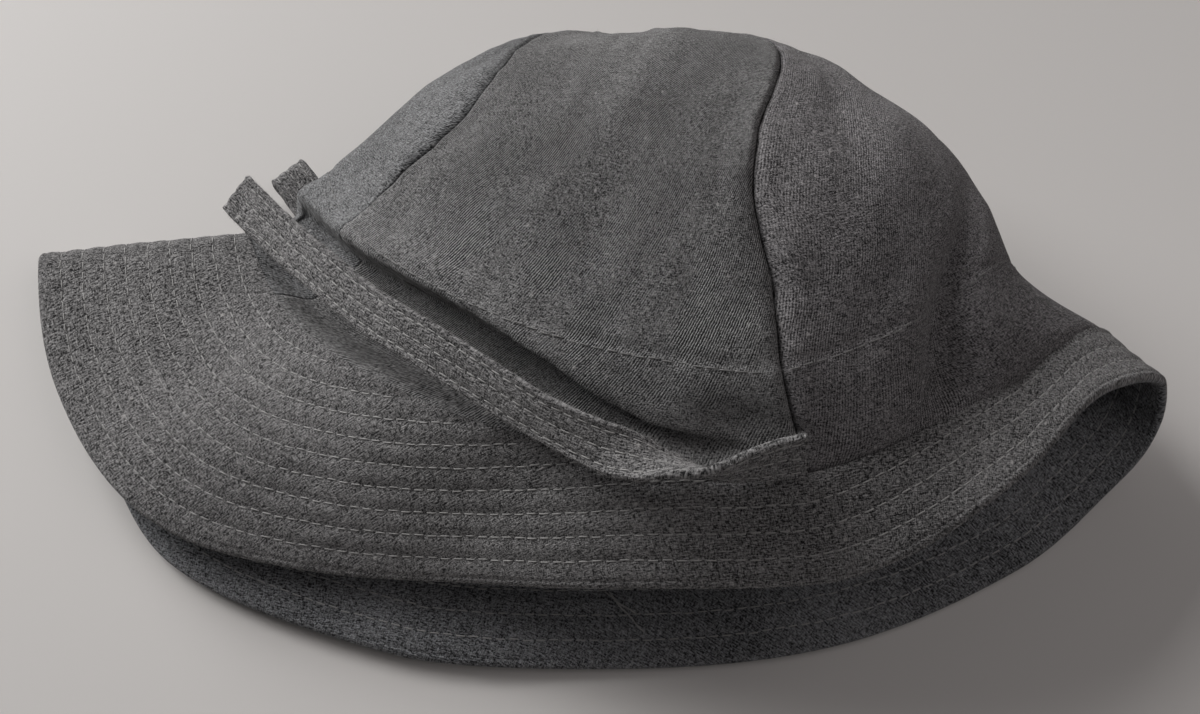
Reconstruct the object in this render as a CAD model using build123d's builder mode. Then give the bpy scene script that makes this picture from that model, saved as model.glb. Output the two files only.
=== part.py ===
"""Soft sun hat of the boonie family, lying collapsed on its side.

Crown of four panels, an inner sweatband, a two-ply quilted brim that is deep in front and short behind,
and two self-fabric ties sewn into the side seams. Millimetres. The hat rests on z = 0, the crown points
along +Y, the mouth faces -Y, and the front of the hat is the fold at -X.
"""

import os
from math import cos, exp, hypot, pi, radians, sin

from build123d import *

# ---------------------------------------------------------------- driving dimensions
head_girth = 600.0       # outside length of the seam between crown and brim
crown_depth = 172.0      # cloth length of a panel from the brim seam to the tip
brim_front = 60.0        # brim width on the front seam
brim_side = 24.5         # brim width on the side seams
brim_back = 19.5         # brim width on the back seam
cloth = 0.8              # one layer of the wool cloth
interlining = 0.7        # soft filling between the two brim plies
band_height = 31.0       # sweatband, from the brim seam to its top row of stitches
band_thick = 1.3
band_gap = 0.4           # air between sweatband and crown
ply_gap = 0.3            # air between the layers of the brim
join_gap = 0.3           # between the two edges of a butted seam
seam_clear = 0.4         # from the brim seam to the cut edges of the crown and of the brim
tie_width = 11.0
tie_thick = 1.8          # cloth folded double and stitched flat
strap_step = 2.5         # spacing of the sections along a tie
patch_steps = 12         # steps of arc in one patch of a strip
tip_hole = 0.985         # the panels meet round this share of the crown depth

# ---------------------------------------------------------------- how the cloth lies
drawn_girth = 600.0      # the stations below describe a hat of this girth
drawn_depth = 172.0      # and of this crown depth

# Stations round the brim seam: a point of the seam, then the heading of the brim from it (degrees from +X
# towards +Y) and its rise (degrees above the table).
seam_stations = [
    (134.0, 6.0, 18.0, -68.0, 37.0),    # back fold
    (119.0, 1.0, 36.0, -93.0, 23.0),
    (92.0, -19.0, 43.0, -84.0, 8.0),
    (46.0, -41.0, 50.0, -73.0, -28.0),  # near side seam
    (8.0, -37.0, 49.0, -99.0, -30.0),
    (-24.0, -28.0, 45.0, -110.0, -39.0),
    (-52.0, -14.0, 38.5, -126.0, -32.0),
    (-75.0, 4.0, 29.0, -135.0, -19.0),
    (-88.0, 22.0, 21.0, -156.0, -11.0),
    (-94.2, 35.2, 18.7, -176.0, -7.6),
    (-96.0, 39.7, 16.9, -177.0, -7.2),
    (-96.7, 41.4, 12.6, -177.0, -6.6),  # front fold
    (-96.0, 39.6, 8.3, -177.0, -6.2),
    (-94.4, 35.0, 6.5, -176.0, -6.2),
    (-92.0, 13.0, 6.6, -154.0, -6.6),
    (-85.0, -22.0, 7.0, -134.0, -9.5),
    (-51.0, -45.0, 7.0, -118.0, -13.5),
    (-3.0, -53.0, 8.0, -98.0, -19.5),
    (51.0, -50.5, 8.0, -69.0, -22.0),
    (94.0, -34.5, 8.0, -50.0, -23.0),
    (119.0, -14.0, 9.0, -39.0, -14.0),
    (131.0, 0.0, 11.0, -50.0, 12.0),
]
fold_back = seam_stations[0][:3]
fold_front = seam_stations[11][:3]
near_side_station = 3

# Levels up the crown: share of the depth; x, y and z of the front fold; x, y and z of the back fold;
# bow of the loop as a share of its bow on the brim seam; height of the top; height of the underside;
# turn of the panels round the loop in degrees; how far the loop has rounded off.
crown_levels = [
    (0.00, -96.7, 41.4, 12.6, 134.0, 6.0, 18.0, 1.00, 50.0, 7.5, 0.0, 0.0),
    (0.15, -77.0, 54.0, 17.0, 110.0, 16.5, 25.0, 0.93, 64.0, 7.5, 0.0, 0.1),
    (0.30, -59.5, 66.0, 22.0, 100.0, 34.0, 30.0, 0.78, 71.5, 6.5, 0.0, 0.5),
    (0.45, -46.0, 74.0, 26.0, 89.0, 50.0, 34.0, 0.57, 72.0, 2.5, 0.0, 0.9),
    (0.60, -34.5, 79.0, 29.0, 72.5, 65.0, 35.0, 0.35, 66.0, 0.5, -6.0, 1.0),
    (0.75, -24.0, 84.5, 30.0, 57.0, 80.5, 34.0, 0.15, 54.0, 1.0, -16.0, 1.0),
    (0.88, -9.0, 90.0, 28.0, 36.0, 90.0, 29.0, 0.05, 41.0, 10.0, -22.0, 1.0),
    (1.00, 8.0, 93.0, 24.5, 12.0, 93.0, 24.5, 0.00, 26.5, 22.5, -22.0, 1.0),
]
# Panel seams up the crown: share of the depth; lean round the girth of the near and of the front seam.
seam_leans = [
    (0.00, 0.0, 0.0),
    (0.14, -1.0, -4.0),
    (0.27, 9.0, -14.0),
    (0.40, 20.0, -31.0),
    (0.52, 19.0, -28.0),
    (0.62, 8.0, -15.0),
    (0.80, -8.0, -2.0),
    (1.00, 0.0, 0.0),
]
top_bow = 61.0           # bow of the brim seam on the upper side, towards the mouth
under_bow = 76.0         # and on the underside

# Ties: a point of the centre line, then the way the width of the strap points.
near_tie_stations = [
    (45.3, -37.9, 56.1, -0.15, 0.60, 0.78),     # sewn end, on the near side seam
    (39.0, -39.1, 56.5, -0.05, 0.50, 0.86),
    (33.0, -40.6, 57.0, 0.00, 0.30, 0.95),
    (26.5, -42.1, 57.4, 0.00, -0.05, 1.00),
    (20.5, -42.2, 57.6, 0.00, -0.45, 0.89),     # strap seen on edge, half way through its twist
    (14.0, -40.6, 57.0, -0.05, -0.75, 0.66),
    (8.0, -38.9, 56.6, -0.10, -0.95, 0.30),
    (0.0, -35.7, 55.6, -0.20, -0.95, -0.20),
    (-12.5, -29.0, 55.0, -0.30, -0.80, -0.50),
    (-25.5, -20.0, 54.0, -0.34, -0.76, -0.54),
    (-37.0, -11.8, 52.0, -0.38, -0.74, -0.54),
    (-50.0, -2.0, 48.6, -0.42, -0.72, -0.54),
    (-60.0, 6.6, 45.2, -0.48, -0.68, -0.54),
    (-68.0, 14.6, 42.2, -0.54, -0.64, -0.53),
    (-75.5, 22.0, 39.4, -0.60, -0.60, -0.50),
    (-85.8, 33.0, 35.8, -0.66, -0.58, -0.45),
    (-94.5, 42.6, 33.0, -0.70, -0.56, -0.42),   # free end, past the front fold
]
far_tie_stations = [
    (-33.0, -41.5, 5.7, 0.05, 1.00, 0.00),      # sewn end, on the far side seam
    (-40.0, -38.6, 5.2, 0.28, 0.96, 0.00),
    (-47.5, -32.4, 4.0, 0.60, 0.80, 0.00),
    (-53.5, -22.0, 2.6, 0.82, 0.57, 0.00),
    (-58.0, -8.0, 1.6, 0.93, 0.37, 0.00),
    (-62.5, 8.0, 1.3, 0.95, 0.31, 0.00),
    (-68.0, 26.0, 1.3, 0.95, 0.31, 0.00),
    (-72.8, 39.0, 1.4, 0.92, 0.39, 0.00),
    (-79.5, 52.0, 1.6, 0.85, 0.53, 0.00),
    (-86.2, 61.8, 2.2, 0.78, 0.62, 0.00),
    (-89.2, 65.6, 3.3, 0.74, 0.67, 0.00),
    (-89.6, 66.2, 5.0, 0.72, 0.69, 0.00),       # bend that pokes out past the front fold
    (-88.4, 64.6, 6.6, 0.74, 0.67, 0.00),
    (-85.0, 60.0, 6.4, 0.78, 0.62, 0.00),
    (-79.5, 52.0, 5.4, 0.85, 0.53, 0.00),
    (-73.5, 41.0, 4.7, 0.92, 0.39, 0.00),
    (-68.0, 26.0, 4.3, 0.95, 0.31, 0.00),
    (-64.0, 13.0, 4.3, 0.95, 0.31, 0.00),       # free end, back under the crown
]


# ---------------------------------------------------------------- curves and surfaces of the cloth
def glide(rows, knots, q, ring):
    """Smooth interpolation of rows of numbers at the value q of the knots; ring closes the run."""
    count, span = len(rows), knots[-1]
    if ring:
        q = q % span
    k = 0
    while k < len(knots) - 2 and q > knots[k + 1]:
        k += 1
    near = []
    for i in range(k - 1, k + 3):
        if ring:
            near.append((knots[i % count] + span * (i // count), rows[i % count]))
        else:
            i = min(max(i, 0), count - 1)
            near.append((knots[i], rows[i]))
    before, a, b, after = [knot for knot, row in near]
    h = b - a
    f = (q - a) / h
    out = []
    for p0, p1, p2, p3 in zip(*[row for knot, row in near]):
        start_slope = (p2 - p0) / (b - before)
        end_slope = (p3 - p1) / (after - a)
        value = p1 * (1 + 2 * f) * (1 - f) ** 2 + p2 * f * f * (3 - 2 * f)
        out.append(value + h * f * (1 - f) * (start_slope * (1 - f) - end_slope * f))
    return out


def chord(p, q):
    return hypot(p[0] - q[0], p[1] - q[1], p[2] - q[2])


station_rows = [
    (x, y, z, cos(radians(head)), sin(radians(head)), rise)
    for x, y, z, head, rise in seam_stations
]
station_knots = [0.0]
for here, there in zip(station_rows, station_rows[1:] + station_rows[:1]):
    station_knots.append(station_knots[-1] + chord(here, there))
level_knots = [row[0] for row in crown_levels]
level_rows = [row[1:] for row in crown_levels]
lean_knots = [row[0] for row in seam_leans]
lean_rows = [row[1:] for row in seam_leans]


def drape(run):
    """Unscaled seam point, brim heading and brim rise at a run along the station chords."""
    return glide(station_rows, station_knots, run, True)


arc_steps = 400
arc_runs = [station_knots[-1] * k / arc_steps for k in range(arc_steps + 1)]
arc_lengths = [0.0]
for k in range(arc_steps):
    arc_lengths.append(arc_lengths[-1] + chord(drape(arc_runs[k])[:3], drape(arc_runs[k + 1])[:3]))
scale = head_girth / arc_lengths[-1]
stretch = (crown_depth / drawn_depth) / (head_girth / drawn_girth)


def run_to_arc(run):
    pos = (run % station_knots[-1]) / station_knots[-1] * arc_steps
    k = min(int(pos), arc_steps - 1)
    return scale * (arc_lengths[k] + (pos - k) * (arc_lengths[k + 1] - arc_lengths[k]))


def arc_to_run(arc):
    arc = (arc % head_girth) / scale
    k = 0
    while k < arc_steps - 1 and arc_lengths[k + 1] < arc:
        k += 1
    f = (arc - arc_lengths[k]) / (arc_lengths[k + 1] - arc_lengths[k])
    return arc_runs[k] + f * (arc_runs[k + 1] - arc_runs[k])


near_seam = run_to_arc(station_knots[near_side_station])
front_seam = near_seam + head_girth / 4
far_seam = near_seam + head_girth / 2
back_seam = near_seam + 3 * head_girth / 4


def brim_width(arc):
    """Width of the brim: deepest on the front seam, shallow from the side seams to the back."""
    away = abs((arc - front_seam + head_girth / 2) % head_girth - head_girth / 2)
    q = away / (head_girth / 4)
    if q < 1:
        return brim_side + (brim_front - brim_side) * cos(pi * q / 2) ** 2
    return brim_back + (brim_side - brim_back) * (2 - q) ** 3


def brim_raw(arc, share):
    """Outer face of the brim: share 0 beside the brim seam, 1 on the outer edge."""
    x, y, z, head_x, head_y, rise = drape(arc_to_run(arc))
    reach = seam_clear + share * (brim_width(arc) - seam_clear)
    flat = reach * cos(radians(rise)) / hypot(head_x, head_y)
    return [scale * x + flat * head_x, scale * y + flat * head_y, scale * z + reach * sin(radians(rise))]


def lie_of(x, y, z):
    """Place of a seam point against the line between the folds: share along it, bow, height and line."""
    f = (x - fold_front[0]) / (fold_back[0] - fold_front[0])
    line_y = fold_front[1] + f * (fold_back[1] - fold_front[1])
    line_z = fold_front[2] + f * (fold_back[2] - fold_front[2])
    return f, y - line_y, z - line_z, line_z


def crown_raw(arc, share):
    """Outer face of the crown: share 0 on the brim seam, 1 at the tip."""
    values = glide(level_rows, level_knots, share, False)
    fx, fy, fz, bx, by, bz, bow, top, under, turn, rounding = values
    seam = drape(arc_to_run(arc))[:3]
    f, seam_bow, seam_height, line_z = lie_of(*seam)
    room = level_rows[0][7] - line_z if seam_height > 0 else line_z - level_rows[0][8]
    angle = 2 * pi * arc / head_girth + radians(turn)
    s = sin(angle)
    flattened = (f, seam_bow, seam_height / room)
    rounded = ((1 + cos(angle)) / 2, -s * s * (top_bow if s > 0 else under_bow), s * (1.45 - 0.45 * s * s))
    point = [0.0, 0.0, 0.0]
    for weight, (along, bend, height) in ((1 - rounding, flattened), (rounding, rounded)):
        mid_z = fz + along * (bz - fz)
        reach = top - mid_z if height > 0 else mid_z - under
        point[0] += weight * (fx + along * (bx - fx))
        point[1] += weight * (fy + along * (by - fy) + bow * bend)
        point[2] += weight * (mid_z + height * reach)
    point[1] = seam[1] + stretch * (point[1] - seam[1])
    return [scale * c for c in point]


def sink(surface, outward, arc, share, depth):
    """Point at a depth under the outer face of a surface."""
    low, high = max(share - 0.01, 0.0), min(share + 0.01, 1.0)
    before, after = surface(arc - 1.0, share), surface(arc + 1.0, share)
    below, above = surface(arc, low), surface(arc, high)
    along = Vector(*after) - Vector(*before)
    across = Vector(*above) - Vector(*below)
    normal = along.cross(across).normalized() * outward
    return Vector(*surface(arc, share)) - normal * depth


def leaned(arc, share):
    """Place round the girth of a point of the cut panels, whose near and front seams lean."""
    near_lean, front_lean = glide(lean_rows, lean_knots, share, False)
    leans = [near_lean, front_lean, 0.0, 0.0, near_lean]
    quarters = (arc - near_seam) / (head_girth / 4)
    k = min(int(quarters), 3)
    return arc + (leans[k] + (quarters - k) * (leans[k + 1] - leans[k])) * head_girth / drawn_girth


def on_crown(arc, share, depth):
    return sink(crown_raw, -1, arc, share, depth)


def on_panel(arc, share, depth):
    return sink(crown_raw, -1, leaned(arc, share), share, depth)


def on_brim(arc, share, depth):
    return sink(brim_raw, 1, arc, share, depth)


# ---------------------------------------------------------------- solids
def cloth_face(surface, arcs, shares, depth):
    """Face through a net of points at an even depth in the cloth."""
    net = [[surface(arc, share, depth) for share in shares] for arc in arcs]
    return Face.make_surface_from_array_of_points(net, tol=0.1, max_deg=3)


def cloth_solid(surface, arcs, shares, top, bottom):
    """Closed layer of cloth between two depths, with square-cut edges."""
    outer = cloth_face(surface, arcs, shares, top)
    inner = cloth_face(surface, arcs, shares, bottom)
    mid_arc, mid_share = arcs[len(arcs) // 2], shares[len(shares) // 2]
    rims = [(arcs[0], mid_share), (arcs[-1], mid_share), (mid_arc, shares[0]), (mid_arc, shares[-1])]
    walls = []
    for arc, share in rims:
        high, low = surface(arc, share, top), surface(arc, share, bottom)
        high_edge = min(outer.edges(), key=lambda edge: edge.distance_to(high))
        low_edge = min(inner.edges(), key=lambda edge: edge.distance_to(low))
        walls.append(Face.make_surface_from_curves(high_edge, low_edge))
    return Solid(Shell([outer, inner, *walls]))


def steps(first, last, count):
    return [first + (last - first) * k / count for k in range(count + 1)]


def strip_solid(surface, arcs, shares, top, bottom):
    """Closed strip of cloth built of patches, each straight across between neighbouring shares."""
    faces = []
    rails = []
    for depth in (top, bottom):
        nets = [[surface(arc, share, depth) for arc in arcs] for share in shares]
        rails.append(nets)
    for first in range(0, len(arcs) - 1, patch_steps):
        span = slice(first, first + patch_steps + 1)
        high, low = [[Edge.make_spline(net[span], parameters=arcs[span]) for net in nets] for nets in rails]
        for edges in (high, low):
            for near_edge, far_edge in zip(edges, edges[1:]):
                faces.append(Face.make_surface_from_curves(near_edge, far_edge))
        faces.append(Face.make_surface_from_curves(high[0], low[0]))
        faces.append(Face.make_surface_from_curves(high[-1], low[-1]))
    for end in (0, -1):
        for k in range(len(shares) - 1):
            high_edge = Edge.make_line(rails[0][k][end], rails[0][k + 1][end])
            low_edge = Edge.make_line(rails[1][k][end], rails[1][k + 1][end])
            faces.append(Face.make_surface_from_curves(high_edge, low_edge))
    return Solid(Shell(faces))


def ring_steps(first, last, count):
    """Arcs round the brim seam, closer together where the cloth is folded."""
    fine = 10
    reached = [0.0]
    arcs = steps(first, last, count * fine)
    front_fold, back_fold = run_to_arc(station_knots[11]), 0.0
    for arc in arcs[1:]:
        crowding = 1.0
        for fold, extra in ((front_fold, 2.6), (back_fold, 0.8)):
            away = (arc - fold + head_girth / 2) % head_girth - head_girth / 2
            crowding += extra * exp(-((away / 14.0) ** 2))
        reached.append(reached[-1] + crowding)
    picked, k = [], 0
    for i in range(count):
        while reached[k] < reached[-1] * i / count:
            k += 1
        picked.append(arcs[k])
    return picked + [last]


def strap_planes(stations):
    """Planes square to the centre line of a strap, with X along its width."""
    knots = [0.0]
    for here, there in zip(stations, stations[1:]):
        knots.append(knots[-1] + chord(here, there))
    count = int(knots[-1] / strap_step)
    rows = [glide(stations, knots, knots[-1] * k / count, False) for k in range(count + 1)]
    planes = []
    for k, row in enumerate(rows):
        ahead = Vector(*rows[min(k + 1, count)][:3]) - Vector(*rows[max(k - 1, 0)][:3])
        tangent = ahead.normalized()
        width = Vector(*row[3:])
        width = (width - tangent * width.dot(tangent)).normalized()
        planes.append(Plane(origin=Vector(*row[:3]) * scale, x_dir=width, z_dir=tangent))
    return planes


crown_shares = steps(seam_clear / crown_depth, tip_hole, 20)
band_shares = steps(2 * seam_clear / crown_depth, band_height / crown_depth, 4)
brim_shares = steps(0.0, 1.0, 2)
half_gap = join_gap / 2
ring_arcs = ring_steps(back_seam + half_gap, back_seam + head_girth - half_gap, 120)
panels = [
    ("crown_panel_front_near", near_seam),
    ("crown_panel_front_far", front_seam),
    ("crown_panel_back_far", far_seam),
    ("crown_panel_back_near", back_seam),
]

parts = []

# Crown: four panels of cloth, seam to seam and brim to tip
for label, first_seam in panels:
    panel_arcs = steps(first_seam + half_gap, first_seam + head_girth / 4 - half_gap, 40)
    with BuildPart() as crown_panel:
        add(cloth_solid(on_panel, panel_arcs, crown_shares, 0.0, cloth))
    crown_panel.part.label = label
    parts.append(crown_panel.part)

# Sweatband: a strip inside the crown just above the brim seam, its ends meeting at the back
with BuildPart() as sweatband:
    add(strip_solid(on_crown, ring_arcs, band_shares, cloth + band_gap, cloth + band_gap + band_thick))
sweatband.part.label = "sweatband"
parts.append(sweatband.part)

# Brim: upper ply, soft filling, under ply, each a strip whose ends meet at the back
filling_top = cloth + ply_gap
under_top = filling_top + interlining + ply_gap
brim_layers = [
    ("brim_upper_ply", 0.0, cloth),
    ("brim_interlining", filling_top, filling_top + interlining),
    ("brim_under_ply", under_top, under_top + cloth),
]
for label, top, bottom in brim_layers:
    with BuildPart() as brim_layer:
        add(strip_solid(on_brim, ring_arcs, brim_shares, top, bottom))
    brim_layer.part.label = label
    parts.append(brim_layer.part)

# Ties: flat straps, one on each side seam
for label, stations in (("near_tie", near_tie_stations), ("far_tie", far_tie_stations)):
    with BuildPart() as tie:
        for plane in strap_planes(stations):
            with BuildSketch(plane):
                Rectangle(tie_width, tie_thick)
        loft(ruled=True)
    tie.part.label = label
    parts.append(tie.part)

# The hat is placed centred over the origin, on z = 0
lows = [min(tuple(part.bounding_box().min)[k] for part in parts) for k in range(3)]
highs = [max(tuple(part.bounding_box().max)[k] for part in parts) for k in range(3)]
placing = Location((-(lows[0] + highs[0]) / 2, -(lows[1] + highs[1]) / 2, -lows[2]))

os.makedirs("parts", exist_ok=True)
for part in parts:
    export_step(part.moved(placing), f"parts/{part.label}.step")
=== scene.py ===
"""Soft sun hat of the boonie family, lying collapsed on its side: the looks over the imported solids."""

import math

import bmesh
import bpy
import numpy as np
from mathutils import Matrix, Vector


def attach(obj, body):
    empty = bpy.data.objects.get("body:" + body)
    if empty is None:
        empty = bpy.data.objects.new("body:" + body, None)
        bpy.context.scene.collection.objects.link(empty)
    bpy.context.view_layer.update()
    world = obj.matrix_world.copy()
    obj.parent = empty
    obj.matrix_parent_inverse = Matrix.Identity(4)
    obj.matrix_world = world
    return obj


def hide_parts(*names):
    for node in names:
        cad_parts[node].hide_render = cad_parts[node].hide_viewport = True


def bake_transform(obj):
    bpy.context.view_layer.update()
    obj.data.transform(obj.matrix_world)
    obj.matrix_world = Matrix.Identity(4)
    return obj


bl_info = {
    "name": "Collapsed Quilted Hat",
    "version": (1, 0, 0),
    "blender": (4, 5, 0),
    "location": "3D View > Sidebar > Hat",
    "description": "Dresses a soft quilted hat that lies on its side",
    "category": "Object",
}

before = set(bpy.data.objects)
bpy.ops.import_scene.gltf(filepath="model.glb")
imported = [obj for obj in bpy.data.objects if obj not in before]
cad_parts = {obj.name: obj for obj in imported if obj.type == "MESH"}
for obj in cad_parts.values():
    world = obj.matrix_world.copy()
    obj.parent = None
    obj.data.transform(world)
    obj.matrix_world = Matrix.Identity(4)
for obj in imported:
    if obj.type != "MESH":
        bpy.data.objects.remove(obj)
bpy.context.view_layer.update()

MM = 0.001

# Sizes in millimetres
GIRTH = 600.0
CROWN_DEPTH = 172.0
BRIM_FRONT = 60.0
BRIM_SIDE = 24.5
BRIM_BACK = 19.5
BRIM_THICK = 2.9
BRIM_TUCK = 0.9
SEAM_CLEAR = 0.4
FILLING_INSET = 2.5
FILLING_THICK = 0.6
CLOTH = 0.8
PANEL_GAP = 0.05
BAND_HEIGHT = 31.0
BAND_FOOT = 0.8
BAND_DEPTH = 1.2
BAND_THICK = 1.1
TIE_WIDTH = 11.0
TIE_THICK = 1.8
QUARTER = GIRTH / 4

# Move from the stations' own axes to the shared frame
PLACING = np.array([5.370, -8.684, 0.088])

# Stations round the brim seam: point, heading of the brim in degrees, rise of the brim in degrees
SEAM_STATIONS = [
    (134.0, 6.0, 18.0, -68.0, 37.0),
    (119.0, 1.0, 36.0, -93.0, 23.0),
    (92.0, -19.0, 43.0, -84.0, 8.0),
    (46.0, -41.0, 50.0, -73.0, -28.0),
    (8.0, -37.0, 49.0, -99.0, -30.0),
    (-24.0, -28.0, 45.0, -110.0, -39.0),
    (-52.0, -14.0, 38.5, -126.0, -32.0),
    (-75.0, 4.0, 29.0, -135.0, -19.0),
    (-88.0, 22.0, 21.0, -156.0, -11.0),
    (-94.2, 35.2, 18.7, -176.0, -7.6),
    (-96.0, 39.7, 16.9, -177.0, -7.2),
    (-96.7, 41.4, 12.6, -177.0, -6.6),
    (-96.0, 39.6, 8.3, -177.0, -6.2),
    (-94.4, 35.0, 6.5, -176.0, -6.2),
    (-92.0, 13.0, 6.6, -154.0, -6.6),
    (-85.0, -22.0, 7.0, -134.0, -9.5),
    (-51.0, -45.0, 7.0, -118.0, -13.5),
    (-3.0, -53.0, 8.0, -98.0, -19.5),
    (51.0, -50.5, 8.0, -69.0, -22.0),
    (94.0, -34.5, 8.0, -50.0, -23.0),
    (119.0, -14.0, 9.0, -39.0, -14.0),
    (131.0, 0.0, 11.0, -50.0, 12.0),
]
NEAR_SIDE_STATION = 3
FOLD_BACK = SEAM_STATIONS[0][:3]
FOLD_FRONT = SEAM_STATIONS[11][:3]

# Levels up the crown: share of depth, front fold, back fold, bow, top, underside, turn, rounding
CROWN_LEVELS = [
    (0.00, -96.7, 41.4, 12.6, 134.0, 6.0, 18.0, 1.00, 50.0, 7.5, 0.0, 0.0),
    (0.15, -77.0, 54.0, 17.0, 110.0, 16.5, 25.0, 0.93, 64.0, 7.5, 0.0, 0.1),
    (0.30, -59.5, 66.0, 22.0, 100.0, 34.0, 30.0, 0.78, 71.5, 6.5, 0.0, 0.5),
    (0.45, -46.0, 74.0, 26.0, 89.0, 50.0, 34.0, 0.57, 72.0, 2.5, 0.0, 0.9),
    (0.60, -34.5, 79.0, 29.0, 72.5, 65.0, 35.0, 0.35, 66.0, 0.5, -6.0, 1.0),
    (0.75, -24.0, 84.5, 30.0, 57.0, 80.5, 34.0, 0.15, 54.0, 1.0, -16.0, 1.0),
    (0.88, -9.0, 90.0, 28.0, 36.0, 90.0, 29.0, 0.05, 41.0, 10.0, -22.0, 1.0),
    (1.00, 8.0, 93.0, 24.5, 12.0, 93.0, 24.5, 0.00, 26.5, 22.5, -22.0, 1.0),
]

# Lean of the near and of the front seam round the girth, by the share of the depth
SEAM_LEANS = [
    (0.00, 0.0, 0.0),
    (0.14, -1.0, -4.0),
    (0.27, 9.0, -14.0),
    (0.40, 20.0, -31.0),
    (0.52, 19.0, -28.0),
    (0.62, 8.0, -15.0),
    (0.80, -8.0, -2.0),
    (1.00, 0.0, 0.0),
]

# Where the four panels meet, and how far the upper and the lower wall bow where the bow is 1
CROWN_TIP = np.array([10.0, 93.2, 24.5])
TOP_BOW = 61.0
UNDER_BOW = 76.0

# Ties: point of the centre line, then the way the width points
NEAR_TIE = [
    (45.3, -37.9, 56.1, -0.15, 0.60, 0.78),
    (39.0, -39.1, 56.5, -0.05, 0.50, 0.86),
    (33.0, -40.6, 57.0, 0.00, 0.30, 0.95),
    (26.5, -42.1, 57.4, 0.00, -0.05, 1.00),
    (20.5, -42.2, 57.6, 0.00, -0.45, 0.89),
    (14.0, -40.6, 57.0, -0.05, -0.75, 0.66),
    (8.0, -38.9, 56.6, -0.10, -0.98, 0.10),
    (0.0, -35.7, 55.6, -0.20, -0.85, -0.48),
    (-12.5, -29.0, 55.0, -0.26, -0.66, -0.70),
    (-25.5, -20.0, 54.0, -0.32, -0.70, -0.63),
    (-37.0, -11.8, 52.0, -0.37, -0.73, -0.57),
    (-50.0, -2.0, 48.6, -0.42, -0.72, -0.54),
    (-60.0, 6.6, 45.2, -0.48, -0.68, -0.54),
    (-68.0, 14.6, 42.2, -0.54, -0.64, -0.53),
    (-75.5, 22.0, 39.4, -0.60, -0.60, -0.50),
    (-85.8, 33.0, 35.8, -0.66, -0.58, -0.45),
    (-94.5, 42.6, 33.0, -0.70, -0.56, -0.42),
]
FAR_TIE = [
    (-33.0, -41.5, 5.7, 0.05, 1.00, 0.00),
    (-40.0, -38.6, 5.2, 0.28, 0.96, 0.00),
    (-47.5, -32.4, 4.0, 0.60, 0.80, 0.00),
    (-53.5, -22.0, 2.6, 0.82, 0.57, 0.00),
    (-58.0, -8.0, 1.6, 0.93, 0.37, 0.00),
    (-62.5, 8.0, 1.3, 0.95, 0.31, 0.00),
    (-68.0, 26.0, 1.3, 0.95, 0.31, 0.00),
    (-72.8, 39.0, 1.4, 0.92, 0.39, 0.00),
    (-79.5, 52.0, 1.6, 0.85, 0.53, 0.00),
    (-86.2, 61.8, 2.2, 0.78, 0.62, 0.00),
    (-89.2, 65.6, 3.3, 0.74, 0.67, 0.00),
    (-89.6, 66.2, 5.0, 0.72, 0.69, 0.00),
    (-88.4, 64.6, 6.6, 0.74, 0.67, 0.00),
    (-85.0, 60.0, 6.4, 0.78, 0.62, 0.00),
    (-79.5, 52.0, 5.4, 0.85, 0.53, 0.00),
    (-73.5, 41.0, 4.7, 0.92, 0.39, 0.00),
    (-68.0, 26.0, 4.3, 0.95, 0.31, 0.00),
    (-64.0, 13.0, 4.3, 0.95, 0.31, 0.00),
]


# ---------------- surfaces of the cloth, in millimetres
def glide(rows, knots, q, ring):
    """Smooth interpolation of rows of numbers at the values q of the knots."""
    rows, knots = np.asarray(rows, float), np.asarray(knots, float)
    q = np.asarray(q, float)
    count, span = len(rows), knots[-1]
    if ring:
        q = np.mod(q, span)
    k = np.clip(np.searchsorted(knots, q, side="left") - 1, 0, len(knots) - 2)
    values, places = [], []
    for shift in (-1, 0, 1, 2):
        i = k + shift
        if ring:
            values.append(rows[i % count])
            places.append(knots[i % count] + span * (i // count))
        else:
            i = np.clip(i, 0, count - 1)
            values.append(rows[i])
            places.append(knots[i])
    (p0, p1, p2, p3), (before, a, b, after) = values, [p[..., None] for p in places]
    h = b - a
    f = (q[..., None] - a) / h
    start_slope = (p2 - p0) / (b - before)
    end_slope = (p3 - p1) / (after - a)
    value = p1 * (1 + 2 * f) * (1 - f) ** 2 + p2 * f * f * (3 - 2 * f)
    return value + h * f * (1 - f) * (start_slope * (1 - f) - end_slope * f)


def measured(points):
    """Length run along a line of points, up to each of them."""
    return np.concatenate([[0.0], np.cumsum(np.linalg.norm(np.diff(points, axis=0), axis=1))])


def placed(along, run, points):
    """Points at lengths along a line whose points lie at the lengths of its run."""
    return np.stack([np.interp(along, run, points[:, i]) for i in range(3)], axis=-1)


def unit(vectors):
    return vectors / np.linalg.norm(vectors, axis=-1, keepdims=True)


STATION_ROWS = np.array([
    (x, y, z, math.cos(math.radians(head)), math.sin(math.radians(head)), rise)
    for x, y, z, head, rise in SEAM_STATIONS
])
STATION_KNOTS = measured(np.vstack([STATION_ROWS, STATION_ROWS[:1]])[:, :3])
RUNS = np.linspace(0.0, STATION_KNOTS[-1], 401)
RUN_POINTS = glide(STATION_ROWS, STATION_KNOTS, RUNS, True)[:, :3]
RUN_LENGTHS = measured(RUN_POINTS)
SCALE = GIRTH / RUN_LENGTHS[-1]
LEVEL_KNOTS = [row[0] for row in CROWN_LEVELS]
LEVEL_ROWS = [row[1:] for row in CROWN_LEVELS]
LEAN_KNOTS = [row[0] for row in SEAM_LEANS]
LEAN_ROWS = [row[1:] for row in SEAM_LEANS]
NEAR_SEAM = SCALE * float(np.interp(STATION_KNOTS[NEAR_SIDE_STATION], RUNS, RUN_LENGTHS))
FRONT_SEAM, FAR_SEAM, BACK_SEAM = (NEAR_SEAM + QUARTER * k for k in (1, 2, 3))


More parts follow.
